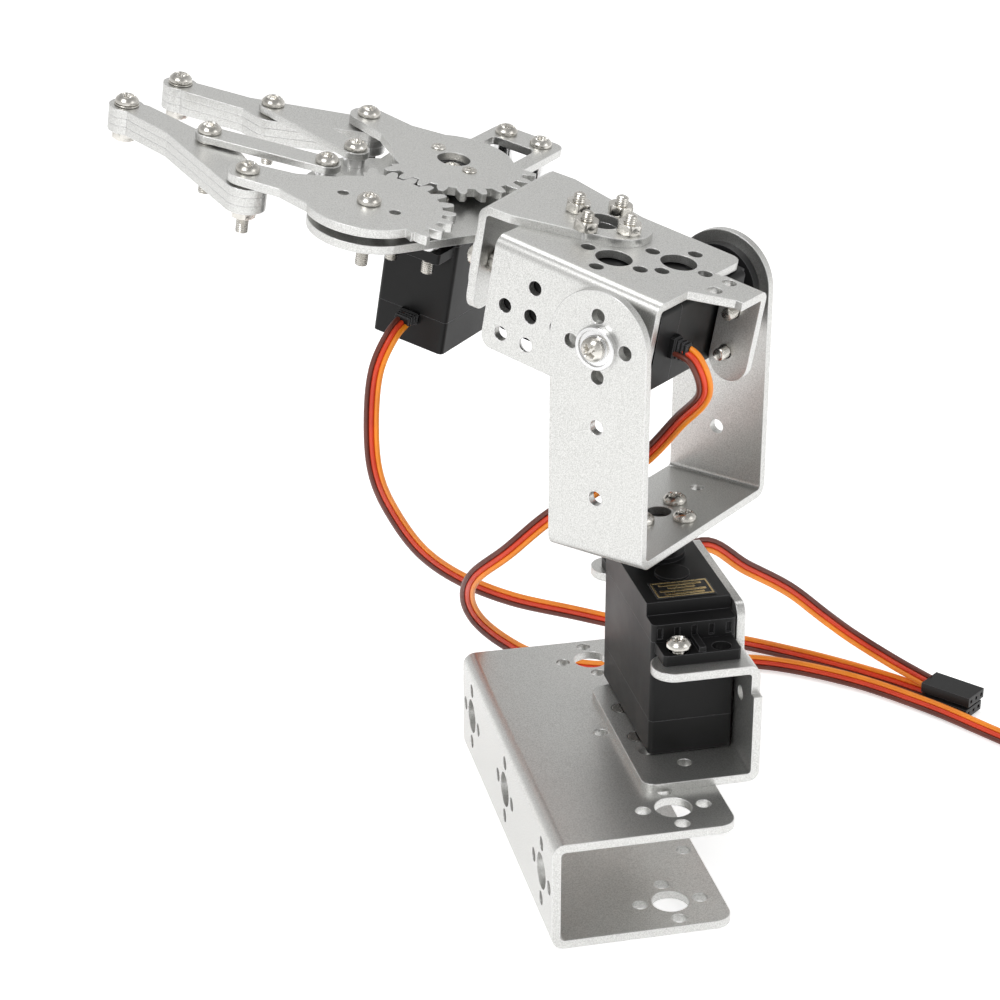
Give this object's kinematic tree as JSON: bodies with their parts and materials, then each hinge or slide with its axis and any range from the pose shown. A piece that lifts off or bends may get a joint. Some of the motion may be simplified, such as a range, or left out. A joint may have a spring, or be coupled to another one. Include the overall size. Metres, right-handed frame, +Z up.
{
  "type": "desktop robot arm",
  "caption": "Desktop servo arm of folded sheet metal: channel foot, turning fork, pitching forearm and a geared claw with loose leads.",
  "frame": {"origin": "middle hole cluster of the foot channel, on the channel's underside", "axes": "+Z up; +Y along the channel away from the viewer; +X from the channel's web towards its open side"},
  "size_m": [0.2257, 0.164, 0.1598],
  "materials": {
    "blasted_aluminium": "satin",
    "servo_plastic": "matte",
    "horn_plastic": "satin",
    "plug_plastic": "satin",
    "circuit_board": "satin",
    "motor_can": "satin",
    "gear_brass": "satin",
    "plated_steel": "polished",
    "polished_steel": "polished",
    "lead_wire": "satin"
  },
  "bodies": {
    "base": {"foot_channel": "blasted_aluminium", "foot_bracket": "blasted_aluminium", "foot_bracket_bolts": "plated_steel", "turntable_servo_lid": "servo_plastic", "turntable_servo_case": "servo_plastic", "turntable_servo_cover": "servo_plastic", "turntable_servo_motor": "motor_can", "turntable_servo_gears": "gear_brass", "turntable_servo_board": "circuit_board", "turntable_servo_case_screws": "plated_steel", "turntable_servo_ear_screws": "plated_steel", "turntable_lead": "lead_wire", "turntable_plug": "plug_plastic"},
    "turret": {"turntable_shaft": "gear_brass", "turntable_horn": "horn_plastic", "fork": "blasted_aluminium", "fork_horn_screws": "plated_steel", "elbow_shaft": "gear_brass", "elbow_horn": "horn_plastic", "elbow_horn_screws": "plated_steel", "elbow_bearing": "polished_steel", "elbow_lead": "lead_wire", "claw_lead": "lead_wire", "arm_plugs": "plug_plastic"},
    "forearm": {"elbow_bracket": "blasted_aluminium", "elbow_pivot_screw": "plated_steel", "elbow_servo_lid": "servo_plastic", "elbow_servo_case": "servo_plastic", "elbow_servo_cover": "servo_plastic", "elbow_servo_motor": "motor_can", "elbow_servo_gears": "gear_brass", "elbow_servo_board": "circuit_board", "elbow_servo_case_screws": "plated_steel", "elbow_servo_ear_screws": "plated_steel", "wrist_bracket": "blasted_aluminium", "wrist_bolts": "plated_steel", "wrist_nuts": "plated_steel", "claw_plate": "blasted_aluminium", "claw_plate_bolts": "plated_steel", "claw_servo_lid": "servo_plastic", "claw_servo_case": "servo_plastic", "claw_servo_cover": "servo_plastic", "claw_servo_motor": "motor_can", "claw_servo_gears": "gear_brass", "claw_servo_board": "circuit_board", "claw_servo_case_screws": "plated_steel", "claw_servo_ear_screws": "plated_steel", "claw_pivot_bolts": "plated_steel", "claw_spacers": "polished_steel"},
    "drive_arm": {"claw_shaft": "gear_brass", "claw_horn": "horn_plastic", "drive_gear_arm": "blasted_aluminium", "drive_gear_screws": "plated_steel"},
    "idle_arm": {"idle_gear_arm": "blasted_aluminium"},
    "drive_jaw": {"drive_jaw": "blasted_aluminium", "drive_jaw_bolts": "plated_steel"},
    "idle_jaw": {"idle_jaw": "blasted_aluminium", "idle_jaw_bolts": "plated_steel"},
    "drive_link": {"drive_link": "blasted_aluminium"},
    "idle_link": {"idle_link": "blasted_aluminium"}
  },
  "joints": [
    {"name": "base_yaw", "type": "hinge", "parent": "base", "child": "turret", "pos_m": [0.0098, 0.014, 0.0733], "axis": [0, 0, 1], "range_deg": [-90, 90], "deforming": ["claw_lead", "turntable_lead"]},
    {"name": "elbow_pitch", "type": "hinge", "parent": "turret", "child": "forearm", "pos_m": [0.0098, 0.014, 0.1241], "axis": [0.7478, 0.6639, 0], "range_deg": [-35, 80], "deforming": ["elbow_lead"]},
    {"name": "claw_drive", "type": "hinge", "parent": "forearm", "child": "drive_arm", "pos_m": [-0.02778, 0.07043, 0.13642], "axis": [0.1199, -0.135, 0.9836], "range_deg": [-40, 12.5]},
    {"name": "claw_idle", "type": "hinge", "parent": "forearm", "child": "idle_arm", "pos_m": [-0.05304, 0.04314, 0.13576], "axis": [0.1199, -0.135, 0.9836], "range_deg": [-12.5, 40]},
    {"name": "drive_jaw_pivot", "type": "hinge", "parent": "drive_arm", "child": "drive_jaw", "pos_m": [-0.04377, 0.09453, 0.14168], "axis": [0.1199, -0.135, 0.9836], "range_deg": [-12.5, 40]},
    {"name": "idle_jaw_pivot", "type": "hinge", "parent": "idle_arm", "child": "idle_jaw", "pos_m": [-0.07843, 0.05709, 0.14077], "axis": [0.1199, -0.135, 0.9836], "range_deg": [-40, 12.5]},
    {"name": "drive_link_pivot", "type": "hinge", "parent": "forearm", "child": "drive_link", "pos_m": [-0.05053, 0.07438, 0.13974], "axis": [0.1199, -0.135, 0.9836], "range_deg": [-40, 12.5]},
    {"name": "idle_link_pivot", "type": "hinge", "parent": "forearm", "child": "idle_link", "pos_m": [-0.05882, 0.06543, 0.13952], "axis": [0.1199, -0.135, 0.9836], "range_deg": [-12.5, 40]}
  ],
  "couplings": [
    {"joint": "claw_idle", "follows": "claw_drive", "ratio": -1},
    {"joint": "drive_jaw_pivot", "follows": "claw_drive", "ratio": -1},
    {"joint": "idle_jaw_pivot", "follows": "claw_drive", "ratio": 1},
    {"joint": "drive_link_pivot", "follows": "claw_drive", "ratio": 1},
    {"joint": "idle_link_pivot", "follows": "claw_drive", "ratio": -1}
  ]
}
